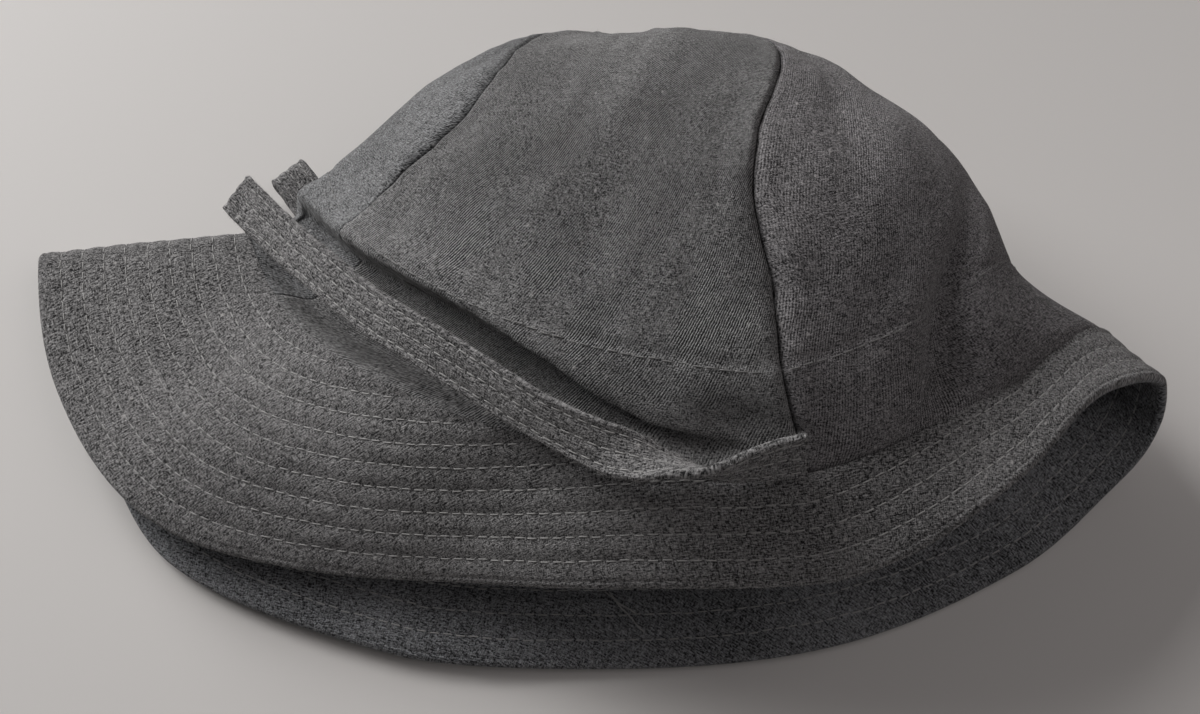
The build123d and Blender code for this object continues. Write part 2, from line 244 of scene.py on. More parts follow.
def drape(arc):
    """Row of the brim seam at a place round the girth."""
    run = np.interp(np.mod(arc, GIRTH) / SCALE, RUN_LENGTHS, RUNS)
    return glide(STATION_ROWS, STATION_KNOTS, run, True)


def from_front(arc):
    """Distance round the girth from the front seam."""
    return np.abs(np.mod(arc - FRONT_SEAM + GIRTH / 2, GIRTH) - GIRTH / 2)


def brim_width(arc):
    """Width of the brim: widest in front, narrowing to the side seams and on to the back."""
    q = from_front(arc) / QUARTER
    front = BRIM_SIDE + (BRIM_FRONT - BRIM_SIDE) * np.cos(math.pi * np.minimum(q, 1) / 2) ** 2
    back = BRIM_BACK + (BRIM_SIDE - BRIM_BACK) * (2 - q) ** 3
    return np.where(q < 1, front, back)


def brim_point(arc, reach):
    """Outer face of the brim at a reach from the brim seam."""
    row = drape(arc)
    rise = np.radians(row[..., 5])
    flat = reach * np.cos(rise) / np.hypot(row[..., 3], row[..., 4])
    return np.stack([
        SCALE * row[..., 0] + flat * row[..., 3],
        SCALE * row[..., 1] + flat * row[..., 4],
        SCALE * row[..., 2] + reach * np.sin(rise),
    ], axis=-1)


def crown_point(arc, share):
    """Outer face of the crown: share 0 on the brim seam, 1 at the tip."""
    arc, share = np.broadcast_arrays(np.asarray(arc, float), np.asarray(share, float))
    level = glide(LEVEL_ROWS, LEVEL_KNOTS, share, False)
    fx, fy, fz, bx, by, bz, bow, top, under, turn, rounding = np.moveaxis(level, -1, 0)
    seam = drape(arc)
    f = (seam[..., 0] - FOLD_FRONT[0]) / (FOLD_BACK[0] - FOLD_FRONT[0])
    line_y = FOLD_FRONT[1] + f * (FOLD_BACK[1] - FOLD_FRONT[1])
    line_z = FOLD_FRONT[2] + f * (FOLD_BACK[2] - FOLD_FRONT[2])
    height = seam[..., 2] - line_z
    room = np.where(height > 0, LEVEL_ROWS[0][7] - line_z, line_z - LEVEL_ROWS[0][8])
    angle = 2 * math.pi * arc / GIRTH + np.radians(turn)
    s = np.sin(angle)
    flattened = (f, seam[..., 1] - line_y, height / room)
    bowed = -s * s * np.where(s > 0, TOP_BOW, UNDER_BOW)
    rounded = ((1 + np.cos(angle)) / 2, bowed, s * (1.45 - 0.45 * s * s))
    point = np.zeros(arc.shape + (3,))
    for weight, (along, bend, lift) in ((1 - rounding, flattened), (rounding, rounded)):
        mid_z = fz + along * (bz - fz)
        reach = np.where(lift > 0, top - mid_z, mid_z - under)
        point[..., 0] += weight * (fx + along * (bx - fx))
        point[..., 1] += weight * (fy + along * (by - fy) + bow * bend)
        point[..., 2] += weight * (mid_z + lift * reach)
    return SCALE * point


def outward(surface, arc, high, sign, step):
    """Unit normals of a surface, pointing out of the hat."""
    along = surface(arc + 0.8, high) - surface(arc - 0.8, high)
    across = surface(arc, high + step) - surface(arc, high - step)
    return unit(sign * np.cross(along, across))


def crown_normal(arc, share):
    return outward(crown_point, arc, np.clip(share, 0.006, 0.994), -1, 0.005)


def brim_normal(arc, reach):
    return outward(brim_point, arc, reach, 1, 0.5)


def leaned(arc, share):
    """Place round the girth of a point of the cut panels, whose near and front seams lean."""
    lean = glide(LEAN_ROWS, LEAN_KNOTS, share, False)
    still = np.zeros_like(lean[..., 0])
    leans = np.stack([lean[..., 0], lean[..., 1], still, still, lean[..., 0]])
    quarters = np.mod(arc - NEAR_SEAM, GIRTH) / QUARTER
    k = np.clip(quarters.astype(int), 0, 3)
    here = np.take_along_axis(leans, k[None], 0)[0]
    there = np.take_along_axis(leans, k[None] + 1, 0)[0]
    return arc + here + (quarters - k) * (there - here)


def smooth_noise(u, v, seed):
    """Even, seamless value noise from -1 to 1 over the plane."""
    table = np.random.default_rng(seed).uniform(-1, 1, (97, 97))
    iu, iv = np.floor(u).astype(int), np.floor(v).astype(int)
    fu, fv = u - iu, v - iv
    fu, fv = fu * fu * (3 - 2 * fu), fv * fv * (3 - 2 * fv)
    a, b = table[iu % 97, iv % 97], table[(iu + 1) % 97, iv % 97]
    c, d = table[iu % 97, (iv + 1) % 97], table[(iu + 1) % 97, (iv + 1) % 97]
    return (a * (1 - fu) + b * fu) * (1 - fv) + (c * (1 - fu) + d * fu) * fv


def bump(x, centre, width):
    """Smooth hill of height 1."""
    return np.exp(-(((x - centre) / width) ** 2))


def ramp(x, low, high):
    """Smooth step from 0 at low to 1 at high."""
    q = np.clip((x - low) / (high - low), 0, 1)
    return q * q * (3 - 2 * q)


# Ledge over the near tie: place round the girth, share of the depth of its lip, depth in millimetres
LEDGE = [
    (118.0, 0.060, 0.0),
    (130.0, 0.060, 2.5),
    (143.0, 0.062, 4.0),
    (156.0, 0.090, 5.0),
    (171.0, 0.130, 6.5),
    (184.0, 0.148, 7.5),
    (196.0, 0.160, 8.0),
    (208.0, 0.164, 8.5),
    (225.0, 0.164, 9.2),
    (246.0, 0.156, 9.2),
    (267.0, 0.136, 7.5),
    (283.0, 0.108, 4.5),
    (296.0, 0.090, 0.0),
]

# Soft swells and hollows: height, place round the girth, slant, width, share of the depth, spread
SWELLS = [
    (1.0, 215.0, 0.0, 26.0, 0.42, 0.16),
    (4.5, 167.0, 0.0, 36.0, 0.62, 0.25),
    (-1.6, 250.0, 0.0, 9.0, 0.52, 0.12),
    (-1.1, 120.0, 60.0, 10.0, 0.55, 0.22),
]

# Hollows on and beside the near seam: height, distance from it, width, share of the depth, spread
PINCHES = [
    (-2.0, 0.0, 4.5, 0.30, 0.10),
    (-1.8, 14.0, 9.0, 0.09, 0.05),
]


def ledge_fold(arc, share):
    """The crown hangs over the near tie in a ledge: it sinks under the lip and leans back above it."""
    places, lips, depths = np.transpose(LEDGE)
    lip, deep = np.interp(arc, places, lips), np.interp(arc, places, depths)
    under = ramp(share, lip + 0.002, lip - 0.014) * ramp(share, 0.0, 0.040)
    leaning = bump(arc, 165, 48) * ramp(share, 0.44, 0.17) * ramp(share, 0.0, 0.08)
    return -1.20 * deep * under + 0.16 * deep * bump(share, lip + 0.018, 0.022) - 3.5 * leaning


def back_fold(arc, share):
    """Slanting valley between two soft ridges, where the crown narrows to the back of the mouth."""
    across = arc - (71 - 105 * share)
    strength = ramp(share, 0.0, 0.06) * ramp(share, 0.36, 0.16)
    ridges = 1.5 * bump(across, 19, 12) + 1.2 * bump(across, -16, 9)
    return strength * (ridges - 3.6 * bump(across, 0, 7.5))


def creases(arc, share):
    """Large folds of the collapsed crown, in millimetres out of the cloth."""
    arc = np.mod(arc, GIRTH)
    lift = ledge_fold(arc, share) + back_fold(arc, share)
    for height, place, slant, width, middle, spread in SWELLS:
        lift += height * bump(arc + slant * share, place, width) * bump(share, middle, spread)
    beside = arc - leaned(np.full_like(arc, NEAR_SEAM), share)
    for height, place, width, middle, spread in PINCHES:
        lift += height * bump(beside, place, width) * bump(share, middle, spread)
    return lift


def crown_shape(arc, share, depth):
    """Crown with its seams, puckers and creases, at a depth in the cloth; arc is of the cut panels."""
    place = leaned(arc, share)
    point, normal = crown_point(place, share), crown_normal(place, share)
    high = share * CROWN_DEPTH

    # each seam sinks between two puckered rolls, and the front one fades out towards the ledge
    away = np.abs(np.mod(arc - NEAR_SEAM + QUARTER / 2, QUARTER) - QUARTER / 2)
    away = away * np.clip(1.05 - share, 0.05, 1) ** 0.6
    pucker = smooth_noise(high / 4.2, arc / 60.0, 11) * bump(away, 0, 7.0)
    shown = np.where(from_front(arc) < QUARTER / 2, ramp(share, 0.20, 0.30), 1.0)
    lift = shown * (-1.3 * bump(away, 0, 1.0) + 0.22 * bump(away, 3.2, 2.4) + 0.4 * pucker)

    # slow waves of the cloth, the pull of the band's row, and the groove of the brim seam
    lift += 0.55 * smooth_noise(arc / 26.0, high / 30.0, 3)
    lift += 0.3 * smooth_noise(arc / 9.0, high / 12.0, 4)
    row = high - BAND_HEIGHT
    pull = smooth_noise(arc / 5.0, high * 0 + 3.0, 5)
    lift += -0.4 * bump(row, 0, 1.3) + 0.25 * pull * bump(row, 0, 6.0)
    lift += -0.8 * bump(high, 0, 2.0)
    lift += creases(place, share)

    # the panels close on the tip
    lift *= np.clip((0.992 - share) * 40, 0, 1)
    point = point + normal * (lift - depth)[..., None]
    shut = 0.97 * ramp(share, 0.965, 1.0)
    return point + (SCALE * CROWN_TIP - point) * shut[..., None]


# Rows of the brim: distance from row to row, from the edge to the first row, and their number
ROW_PITCH = 6.0
EDGE_MARGIN = 7.0
ROW_COUNT = 9


def quilt(arc, reach):
    """Height of the puffed rows of the brim, the pull of the stitches and the sway of the cloth."""
    inset = brim_width(arc) - reach
    place = (inset - EDGE_MARGIN) / ROW_PITCH
    rib = np.abs(np.sin(math.pi * place))
    rib = np.where(inset < EDGE_MARGIN, np.sin(math.pi * np.clip(inset / EDGE_MARGIN, 0, 1)) ** 0.8, rib)
    nearest = np.abs(place - np.round(place)) * ROW_PITCH
    pull = smooth_noise(arc / 3.4, np.round(place) * 7.3, 21) * bump(nearest, 0, 1.9)
    wander = smooth_noise(arc / 34.0, inset / 22.0, 22)
    return rib, pull, wander


# Slow bends of the brim: rise of its edge, place round the girth, width
BRIM_BENDS = [
    (4.5, 228.0, 30.0),
    (-2.5, 160.0, 30.0),
]


def brim_bend(arc, reach):
    """Bend of the brim across its width, in millimetres out of the cloth."""
    share = np.clip(reach / brim_width(arc), 0, 1)
    return share * share * sum(rise * bump(arc, place, width) for rise, place, width in BRIM_BENDS)


def brim_shape(arc, reach, face):
    """Upper (face 1), middle (face 0) or lower (face -1) layer of the quilted brim."""
    point, normal = brim_point(arc, reach), brim_normal(arc, reach)
    rib, pull, wander = quilt(arc, reach)
    inset = brim_width(arc) - reach
    half = BRIM_THICK / 2
    round_off = np.sqrt(np.clip(1 - (1 - np.clip(inset / 1.5, 0, 1)) ** 2, 0, 1))
    swell = half - 0.30 + 0.36 * rib + 0.16 * pull - 0.22 * bump(inset, 2.1, 0.45)
    lift = face * swell * round_off - half + 0.9 * wander + brim_bend(np.mod(arc, GIRTH), reach)
    return point + normal * lift[..., None]


# ---------------- making meshes
def on_table(points):
    """The cloth flattens where it meets the table."""
    points[..., 2] = np.maximum(points[..., 2], 0.02)
    return points


def cloth_grid(name, columns, rows, place, cut, flip):
    """A fine grid of cloth: place and cut take the shares across (a) and up (b)."""
    bm = bmesh.new()
    bmesh.ops.create_grid(bm, x_segments=columns, y_segments=rows, size=0.5)
    if flip:
        bmesh.ops.reverse_faces(bm, faces=bm.faces)
    mesh = bpy.data.meshes.new(name)
    bm.to_mesh(mesh)
    bm.free()
    flat = np.empty(len(mesh.vertices) * 3, dtype=np.float32)
    mesh.vertices.foreach_get("co", flat)
    a, b = flat[0::3].astype(float) + 0.5, flat[1::3].astype(float) + 0.5
    points = on_table(place(a, b) + PLACING) * MM
    mesh.vertices.foreach_set("co", points.astype(np.float32).ravel())
    corners = np.empty(len(mesh.loops), dtype=np.int32)
    mesh.loops.foreach_get("vertex_index", corners)
    layer = mesh.uv_layers.new(name="Cut")
    layer.data.foreach_set("uv", ((cut(a, b) * MM)[corners]).astype(np.float32).ravel())
    mesh.update()
    return add_object(name, mesh)


def add_object(name, mesh):
    mesh.shade_smooth()
    obj = bpy.data.objects.new(name, mesh)
    bpy.context.collection.objects.link(obj)
    return obj


def finish_mesh(name, bm):
    mesh = bpy.data.meshes.new(name)
    bm.to_mesh(mesh)
    bm.free()
    return add_object(name, mesh)


def thicken(obj, thickness, offset=-1.0):
    wall = obj.modifiers.new("Cloth", "SOLIDIFY")
    wall.thickness = thickness * MM
    wall.offset = offset
    return obj


# ---------------- finishes
def node(tree, kind, place, **values):
    made = tree.nodes.new(kind)
    made.location = place
    for key, value in values.items():
        if key.startswith("in_"):
            made.inputs[key[3:].replace("_", " ")].default_value = value
        else:
            setattr(made, key, value)
    return made


def wool_group():
    """Heathered weave: colour, relief and roughness from the flat cut of the cloth, in metres."""
    if "Heathered Wool" in bpy.data.node_groups:
        return bpy.data.node_groups["Heathered Wool"]
    group = bpy.data.node_groups.new("Heathered Wool", "ShaderNodeTree")
    for way, kind, labels in (
        ("INPUT", "Vector", ("Cut",)),
        ("INPUT", "Color", ("Dark", "Light", "Fleck")),
        ("INPUT", "Float", ("Twill Angle", "Twill", "Weft", "Warp")),
        ("OUTPUT", "Color", ("Colour",)),
        ("OUTPUT", "Float", ("Height", "Roughness")),
    ):
        for label in labels:
            group.interface.new_socket(label, in_out=way, socket_type="NodeSocket" + kind)
    inside = node(group, "NodeGroupInput", (-1900, 0))
    outside = node(group, "NodeGroupOutput", (1300, 0))
    link = group.links.new

    def noise(place, scale, detail, stretch=None, rough=0.6):
        made = node(group, "ShaderNodeTexNoise", place, in_Scale=scale, in_Detail=detail,
                    in_Roughness=rough)
        source = cloth.outputs[0]
        if stretch:
            pulled = node(group, "ShaderNodeMapping", (place[0] - 200, place[1]))
            pulled.inputs["Scale"].default_value = stretch
            link(source, pulled.inputs["Vector"])
            source = pulled.outputs[0]
        link(source, made.inputs["Vector"])
        return made.outputs["Fac"]

    def scaled(value, low, high, to_low, to_high, place):
        made = node(group, "ShaderNodeMapRange", place, in_From_Min=low, in_From_Max=high,
                    in_To_Min=to_low, in_To_Max=to_high)
        link(value, made.inputs["Value"])
        return made.outputs[0]

    def maths(kind, place, *values):
        made = node(group, "ShaderNodeMath", place, operation=kind)
        for socket, value in zip(made.inputs, values):
            if isinstance(value, (int, float)):
                socket.default_value = value
            else:
                link(value, socket)
        return made.outputs[0]

    def centred(place, *grain):
        return maths("SUBTRACT", (place[0] + 200, place[1]), noise(place, *grain), 0.5)

    # the cloth is never quite straight: its threads wander a little
    sway = node(group, "ShaderNodeTexNoise", (-1700, -250), in_Scale=160.0, in_Detail=2.0)
    link(inside.outputs["Cut"], sway.inputs["Vector"])
    cloth = node(group, "ShaderNodeVectorMath", (-1500, 0), operation="MULTIPLY_ADD")
    cloth.inputs[1].default_value = (0.0007, 0.0007, 0.0)
    link(sway.outputs["Color"], cloth.inputs[0])
    link(inside.outputs["Cut"], cloth.inputs[2])

    turned = node(group, "ShaderNodeVectorRotate", (-1250, 450), rotation_type="Z_AXIS")
    link(cloth.outputs[0], turned.inputs["Vector"])
    link(inside.outputs["Twill Angle"], turned.inputs["Angle"])
    twill = node(group, "ShaderNodeTexWave", (-1000, 450), wave_type="BANDS", bands_direction="X",
                 in_Scale=440.0, in_Distortion=1.6, in_Detail=2.0, in_Detail_Scale=1.4)
    link(turned.outputs[0], twill.inputs["Vector"])
    patch = scaled(noise((-1000, 700), 38.0, 2.0), 0.42, 0.62, 0.15, 1.0, (-800, 700))
    ribs = maths("SUBTRACT", (-800, 450), twill.outputs["Fac"], 0.5)
    ribs = maths("MULTIPLY", (-600, 500), ribs, patch)
    ribs = maths("MULTIPLY", (-400, 500), ribs, inside.outputs["Twill"])

    weft = centred((-1000, 150), 1.0, 2.0, (800.0, 2700.0, 1.0))
    warp = centred((-1000, -50), 1.0, 2.0, (2700.0, 800.0, 1.0))
    threads = maths("MULTIPLY_ADD", (-500, 150), weft, inside.outputs["Weft"], ribs)
    threads = maths("MULTIPLY_ADD", (-300, 50), warp, inside.outputs["Warp"], threads)
    fuzz = centred((-1000, -250), 2300.0, 2.0)
    threads = maths("MULTIPLY_ADD", (-100, 0), fuzz, 1.5, threads)
    heather = centred((-1000, -450), 330.0, 3.0, None, 0.65)
    cloudy = centred((-1000, -650), 26.0, 3.0)
    level = maths("MULTIPLY_ADD", (100, -100), heather, 0.7, threads)
    level = maths("MULTIPLY_ADD", (300, -100), cloudy, 0.55, level)
    level = maths("ADD", (500, -100), level, 0.42)
    colour = node(group, "ShaderNodeMix", (700, 100), data_type="RGBA")
    link(scaled(level, 0.0, 1.0, 0.0, 1.0, (550, 100)), colour.inputs[0])
    link(inside.outputs["Dark"], colour.inputs[6])
    link(inside.outputs["Light"], colour.inputs[7])

    # neps and slubs: small knots and thick pale lengths of yarn
    cells = node(group, "ShaderNodeTexVoronoi", (-1000, -900), in_Scale=300.0)
    link(cloth.outputs[0], cells.inputs["Vector"])
    chosen = scaled(cells.outputs["Color"], 0.74, 0.80, 0.0, 1.0, (-800, -850))
    spot = scaled(cells.outputs["Distance"], 0.20, 0.08, 0.0, 1.0, (-800, -1050))
    neps = maths("MULTIPLY", (-600, -950), chosen, spot)
    slubs = noise((-1000, -1250), 1.0, 1.0, (420.0, 2000.0, 1.0))
    slubs = scaled(slubs, 0.66, 0.76, 0.0, 0.75, (-800, -1250))
    pale = maths("MAXIMUM", (-400, -1050), neps, slubs)
    flecked = node(group, "ShaderNodeMix", (950, 50), data_type="RGBA")
    link(maths("MULTIPLY", (700, -300), pale, 0.75), flecked.inputs[0])
    link(colour.outputs[2], flecked.inputs[6])
    link(inside.outputs["Fleck"], flecked.inputs[7])
    link(flecked.outputs[2], outside.inputs["Colour"])
    link(maths("MULTIPLY_ADD", (950, -250), pale, 0.35, level), outside.inputs["Height"])
    link(scaled(level, 0.0, 1.0, 0.98, 0.84, (950, -450)), outside.inputs["Roughness"])
    return group


def wool_material(name, cloth, tone_and_painted_tint=(1.0, 1.0, 1.0), twill=0.0, weft=2.0, warp=1.3):
    material = bpy.data.materials.new(name)
    material.use_nodes = True
    tree = material.node_tree
    shader = tree.nodes["Principled BSDF"]
    shader.inputs["Sheen Weight"].default_value = 0.22
    shader.inputs["Sheen Roughness"].default_value = 0.4
    shader.inputs["Sheen Tint"].default_value = (0.62, 0.61, 0.60, 1.0)
    shader.inputs["Specular IOR Level"].default_value = 0.15
    cut = node(tree, "ShaderNodeUVMap", (-700, 0), uv_map="Cut")
    wool = node(tree, "ShaderNodeGroup", (-450, 0))
    wool.node_tree = wool_group()
    for label, colour in (("Dark", cloth.dark), ("Light", cloth.light), ("Fleck", cloth.fleck)):
        # the tone scales the yarn colours; on the crown panels it is a painted tint of the light
        wool.inputs[label].default_value = (*[c * k for c, k in zip(colour, tone_and_painted_tint)], 1.0)
    wool.inputs["Twill Angle"].default_value = cloth.twill_angle
    wool.inputs["Twill"].default_value = twill
    wool.inputs["Weft"].default_value = weft
    wool.inputs["Warp"].default_value = warp
    relief = node(tree, "ShaderNodeBump", (-200, -250), in_Strength=0.9, in_Distance=cloth.relief * MM)
    link = tree.links.new
    link(cut.outputs[0], wool.inputs["Cut"])
    link(wool.outputs["Colour"], shader.inputs["Base Color"])
    link(wool.outputs["Roughness"], shader.inputs["Roughness"])
    link(wool.outputs["Height"], relief.inputs["Height"])
    link(relief.outputs[0], shader.inputs["Normal"])
    return material


def thread_material(name, colour):
    material = bpy.data.materials.new(name)
    material.use_nodes = True
    shader = material.node_tree.nodes["Principled BSDF"]
    shader.inputs["Base Color"].default_value = (*colour, 1.0)
    shader.inputs["Roughness"].default_value = 0.75
    shader.inputs["Sheen Weight"].default_value = 0.2
    return material


# ---------------- what a user would change
class ClothSettings(bpy.types.PropertyGroup):
    dark: bpy.props.FloatVectorProperty(
        name="Dark Yarn", description="Colour of the dark fibres", subtype="COLOR",
        default=(0.018, 0.018, 0.019), min=0.0, max=1.0)
    light: bpy.props.FloatVectorProperty(
        name="Light Yarn", description="Colour of the light fibres", subtype="COLOR",
        default=(0.385, 0.382, 0.383), min=0.0, max=1.0)
    fleck: bpy.props.FloatVectorProperty(
        name="Fleck", description="Colour of the small pale knots in the yarn", subtype="COLOR",
        default=(0.46, 0.45, 0.445), min=0.0, max=1.0)
    twill_angle: bpy.props.FloatProperty(
        name="Twill Angle", description="Lean of the ribs in the crown cloth", subtype="ANGLE",
        default=math.radians(-24))
    relief: bpy.props.FloatProperty(
        name="Relief", description="Depth of the weave in millimetres", default=0.26, min=0.0, max=1.0)


class StitchSettings(bpy.types.PropertyGroup):
    colour: bpy.props.FloatVectorProperty(
        name="Thread", description="Colour of the sewing thread", subtype="COLOR",
        default=(0.34, 0.335, 0.33), min=0.0, max=1.0)
    pitch: bpy.props.FloatProperty(
        name="Stitch Pitch", description="Distance from stitch to stitch in millimetres",
        default=3.2, min=1.0, max=8.0)
    width: bpy.props.FloatProperty(
        name="Thread Width", description="Width of the thread in millimetres",
        default=0.36, min=0.1, max=1.0)


class StageSettings(bpy.types.PropertyGroup):
    floor: bpy.props.FloatVectorProperty(
        name="Floor", description="Colour of the table", subtype="COLOR",
        default=(0.68, 0.66, 0.645), min=0.0, max=1.0)
    key_power: bpy.props.FloatProperty(
        name="Key Light", description="Power of the window light", subtype="POWER", default=4.5, min=0.0)
    fill_power: bpy.props.FloatProperty(
        name="Fill Light", description="Power of the soft light", subtype="POWER", default=1.35, min=0.0)


# ---------------- pieces
# Crown panels: first seam, tone of the yarns, strength of the twill; the tones are painted light: the
# back near panel is painted darker and warmer, on the side away from the lamp, and the front far panel
# cooler
CROWN_PANELS = {
    "crown_panel_front_near": (NEAR_SEAM, (1.0, 1.0, 1.0), 1.2),
    "crown_panel_front_far": (FRONT_SEAM, (0.98, 1.0, 1.02), 0.7),
    "crown_panel_back_far": (FAR_SEAM, (0.97, 0.97, 0.98), 0.7),
    "crown_panel_back_near": (BACK_SEAM, (0.97, 0.94, 0.96), 0.5),
}


def dress(piece, body, slot, *nodes):
    """Puts a piece on its body, in place of its solids; the slot it is given is not used."""
    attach(piece, body)
    if nodes:
        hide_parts(*nodes)


class HAT_OT_crown(bpy.types.Operator):
    """Build the four panels of the crown"""

    bl_idname = "hat.crown"
    bl_label = "Crown Panels"

    def execute(self, context):
        cloth = context.scene.hat_cloth
        for name, (first, tone_and_painted_tint, twill) in CROWN_PANELS.items():

            def place(a, b, first=first):
                arc = first + PANEL_GAP + a * (QUARTER - 2 * PANEL_GAP)
                return crown_shape(arc, b * 0.999, 0.0)

            def cut(a, b, first=first):
                wide = (a - 0.5) * QUARTER * np.cos(b * math.pi / 2 * 0.9)
                return np.stack([wide + first, b * CROWN_DEPTH], axis=-1)

            panel = cloth_grid(name + "_cloth", 150, 170, place, cut, True)
            # the panel's tone is painted light: a darker, warmer tint on the back near panel and a cooler
            # one on the front far panel
            panel.data.materials.append(wool_material("Wool " + name, cloth, tone_and_painted_tint, twill, 1.7, 1.5))
            thicken(panel, CLOTH)
            dress(panel, "hat", "crown_cloth", name)
        return {"FINISHED"}


class HAT_OT_sweatband(bpy.types.Operator):
    """Build the band inside the crown"""

    bl_idname = "hat.sweatband"
    bl_label = "Sweatband"

    def execute(self, context):
        cloth = context.scene.hat_cloth

        def place(a, b):
            arc = BACK_SEAM + a * GIRTH
            return crown_shape(arc, (BAND_FOOT + b * (BAND_HEIGHT - BAND_FOOT)) / CROWN_DEPTH, BAND_DEPTH)

        def cut(a, b):
            return np.stack([a * GIRTH, b * BAND_HEIGHT], axis=-1)

        band = cloth_grid("sweatband_cloth", 420, 22, place, cut, True)
        band.data.materials.append(wool_material("Band Cloth", cloth, (0.45, 0.44, 0.45), 0.2, 0.9, 0.9))
        thicken(band, BAND_THICK)
        dress(band, "hat", "band_cloth", "sweatband")
        return {"FINISHED"}


def brim_cut(arc, reach):
    """Flat pattern of the brim: a ring, with the straight grain from front to back."""
    radius = GIRTH / (2 * math.pi)
    turn = (arc - FRONT_SEAM) / radius
    return np.stack([(radius + reach) * np.cos(turn), (radius + reach) * np.sin(turn)], axis=-1)


class HAT_OT_brim(bpy.types.Operator):
    """Build the quilted upper and under cloth of the brim, and its filling"""

    bl_idname = "hat.brim"
    bl_label = "Quilted Brim"

    def execute(self, context):
        cloth = context.scene.hat_cloth
        layers = {
            "brim_upper_ply": (1, 640, 120, (1.0, 0.99, 0.99)),
            "brim_under_ply": (-1, 640, 120, (0.93, 0.96, 1.0)),
            "brim_interlining": (0, 320, 24, (1.6, 1.6, 1.5)),
        }
        for name, (face, columns, rows, tone_and_painted_tint) in layers.items():

            def spread(a, b, face=face):
                arc = BACK_SEAM + a * GIRTH
                edge = brim_width(arc) - (FILLING_INSET if face == 0 else 0.0)
                inner = SEAM_CLEAR if face == 0 else -BRIM_TUCK
                return arc, inner + b * (edge - inner)

            def place(a, b, face=face):
                return brim_shape(*spread(a, b), face)

            def cut(a, b):
                return brim_cut(*spread(a, b))

            ply = cloth_grid(name + "_cloth", columns, rows, place, cut, face < 0)
            if face:
                ply.data.materials.append(wool_material("Wool " + name, cloth, tone_and_painted_tint, 0.12, 2.3, 1.5))
                dress(ply, "hat", "brim_cloth", name)
            else:
                ply.data.materials.append(wool_material("Filling", cloth, tone_and_painted_tint, 0.0, 0.5, 0.5))
                thicken(ply, FILLING_THICK, 0.0)
                dress(ply, "hat", "filling", name)
        return {"FINISHED"}


def strap_frames(stations):
    """Run, points, width and face directions along a strap, a step apart."""
    stations = np.array(stations)
    knots = measured(stations[:, :3])
    run = np.linspace(0.0, knots[-1], int(knots[-1] / STRAP_STEP) + 1)
    rows = glide(stations, knots, run, False)
    points = rows[:, :3] * SCALE
    tangent = unit(np.gradient(points, axis=0))
    width = unit(rows[:, 3:] - tangent * np.sum(rows[:, 3:] * tangent, axis=1, keepdims=True))
    return run * SCALE, points, width, np.cross(tangent, width)


def follow(frames, along, k):
    """Point (k 1), width direction (2) or face direction (3) of a strap at lengths along it."""
    return placed(along, frames[0], frames[k])


# Step along a strap, and its rows of stitches across
STRAP_STEP = 0.5
STRAP_ROWS = (-3.6, 0.0, 3.6)


def strap_shape(frames, along, side, face):
    """Point of a strap: along in millimetres, side from -1 to 1 across, face 1 or -1."""
    row = side * TIE_WIDTH / 2
    groove = sum(bump(row, across, 0.7) for across in STRAP_ROWS)
    puff = 0.26 - 0.32 * groove + 0.08 * smooth_noise(along / 3.6, row / 3.0, 31)
    edge = np.sqrt(np.clip(1 - np.clip((np.abs(side) - 0.86) / 0.14, 0, 1) ** 2, 0, 1))
    wave = 0.22 * smooth_noise(along / 11.0, row * 0, 32) + 0.10 * smooth_noise(along / 2.0, side, 33)
    wide = row + wave * np.abs(side)
    out = face * (TIE_THICK / 2 - 0.15 + puff) * edge
    return follow(frames, along, 1) + follow(frames, along, 2) * wide[..., None] \
        + follow(frames, along, 3) * out[..., None]


TIES = {"near_tie": NEAR_TIE, "far_tie": FAR_TIE}


class HAT_OT_ties(bpy.types.Operator):
    """Build the two flat straps"""

    bl_idname = "hat.ties"
    bl_label = "Ties"

    def execute(self, context):
        cloth = context.scene.hat_cloth
        for name, stations in TIES.items():
            frames = strap_frames(stations)
            length = frames[0][-1]

            def place(a, b):
                side = np.where(b < 0.5, 4 * b - 1, 3 - 4 * b)
                return strap_shape(frames, a * length, side, np.where(b < 0.5, 1.0, -1.0))

            def cut(a, b):
                return np.stack([a * length, b * 2 * TIE_WIDTH], axis=-1)

            strap = cloth_grid(name + "_cloth", 300, 64, place, cut, False)
            close_strap(strap)
            strap.data.materials.append(
                wool_material("Wool " + name, cloth, (1.06, 1.05, 1.05), 0.15, 2.2, 1.6))
            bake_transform(strap)
            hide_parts(name)
        return {"FINISHED"}


def close_strap(strap):
    """Joins the long edges of the folded strap and closes its ends."""
    bm = bmesh.new()
    bm.from_mesh(strap.data)
    bmesh.ops.remove_doubles(bm, verts=bm.verts, dist=0.00002)
    open_edges = [edge for edge in bm.edges if edge.is_boundary]
    bmesh.ops.holes_fill(bm, edges=open_edges, sides=0)
    bmesh.ops.recalc_face_normals(bm, faces=bm.faces)
    bm.to_mesh(strap.data)
    bm.free()


# Running stitch: steps along it, place and width of its hole, rise, dip and sideways drift
STITCH_STEPS = 8
HOLE_PLACE = 0.84
HOLE_WIDTH = 0.11
THREAD_RISE = 0.10
THREAD_DIP = 0.85
THREAD_DRIFT = 0.22


